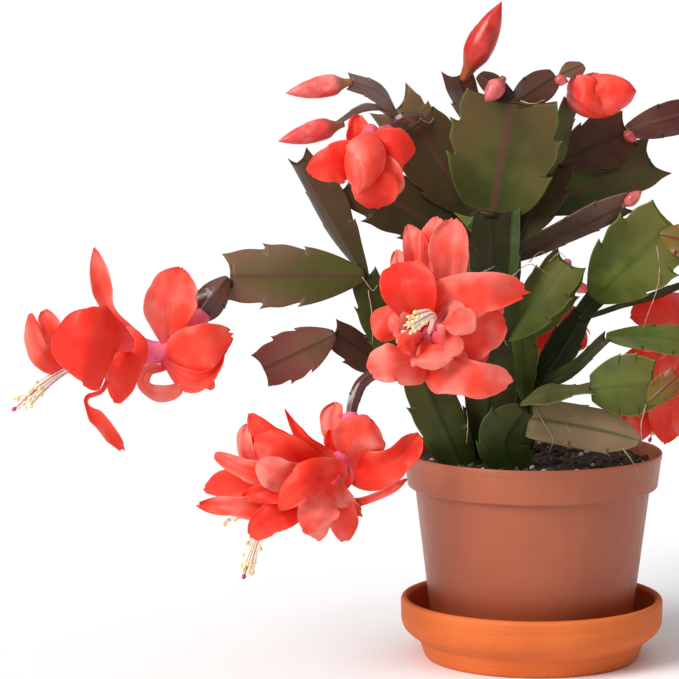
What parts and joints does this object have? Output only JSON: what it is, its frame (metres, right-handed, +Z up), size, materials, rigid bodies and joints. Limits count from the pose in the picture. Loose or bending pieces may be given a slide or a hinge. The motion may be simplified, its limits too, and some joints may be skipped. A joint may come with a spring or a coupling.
{
  "type": "potted christmas cactus",
  "caption": "Flowering Christmas cactus with flat toothed stem segments, red tiered flowers and buds, in a terracotta-coloured nursery pot on a clay saucer.",
  "frame": {"origin": "middle of the saucer's flat underside, on the surface that the plant stands on, on the pot's axis", "axes": "+Z up along the pot's axis, -Y towards the side that the largest flower faces, -X towards the long flowering branch"},
  "size_m": [0.2944, 0.1875, 0.2652],
  "materials": {
    "saucer_clay": "matte unglazed terracotta",
    "pot_plastic": "satin moulded plastic",
    "potting_soil": "crumbly",
    "old_stem": "satin, woody at the joints",
    "green_segment": "satin waxy skin",
    "brown_segment": "satin waxy skin",
    "young_segment": "glossy young skin",
    "petals": "thin translucent petals",
    "bud_skin": "satin"
  },
  "bodies": {
    "root": {"bud_lower_left": "bud_skin", "bud_pink_front": "bud_skin", "bud_red_right": "bud_skin", "bud_top": "bud_skin", "bud_upper_left": "bud_skin", "crest_brown": "brown_segment", "crest_green": "green_segment", "crest_grey": "brown_segment", "flower_back": "petals", "flower_centre": "petals", "flower_left": "petals", "flower_low": "petals", "flower_right": "petals", "flower_upper": "petals", "leaf_back_left": "green_segment", "leaf_back_low": "green_segment", "leaf_back_outer": "green_segment", "leaf_back_right": "green_segment", "leaf_back_top": "green_segment", "leaf_behind_top": "green_segment", "leaf_dark_brown": "brown_segment", "leaf_diagonal": "green_segment", "leaf_drooping": "brown_segment", "leaf_edge_on": "green_segment", "leaf_folded": "green_segment", "leaf_horizontal": "green_segment", "leaf_inner": "green_segment", "leaf_left_dark": "brown_segment", "leaf_left_green": "green_segment", "leaf_long": "green_segment", "leaf_low_facing": "green_segment", "leaf_low_right": "green_segment", "leaf_low_young": "young_segment", "leaf_mauve": "brown_segment", "leaf_mauve_right": "young_segment", "leaf_olive_left": "green_segment", "leaf_pink_edge": "brown_segment", "leaf_right": "green_segment", "leaf_right_young": "young_segment", "leaf_spiked": "green_segment", "leaf_top": "green_segment", "leaf_upper_left": "green_segment", "leaf_wrinkled": "green_segment", "pot": "pot_plastic", "saucer": "saucer_clay", "segment_bud_lower": "young_segment", "segment_bud_upper": "young_segment", "segment_flower_centre": "green_segment", "segment_maroon": "young_segment", "segment_top_dark": "brown_segment", "soil": "potting_soil", "stem_arching": "brown_segment", "stem_back": "old_stem", "stem_centre": "old_stem", "stem_diagonal": "old_stem", "stem_front": "old_stem", "stem_left": "old_stem", "stem_low_right": "old_stem", "stem_right": "old_stem", "stem_right_thin": "old_stem"}
  },
  "joints": []
}
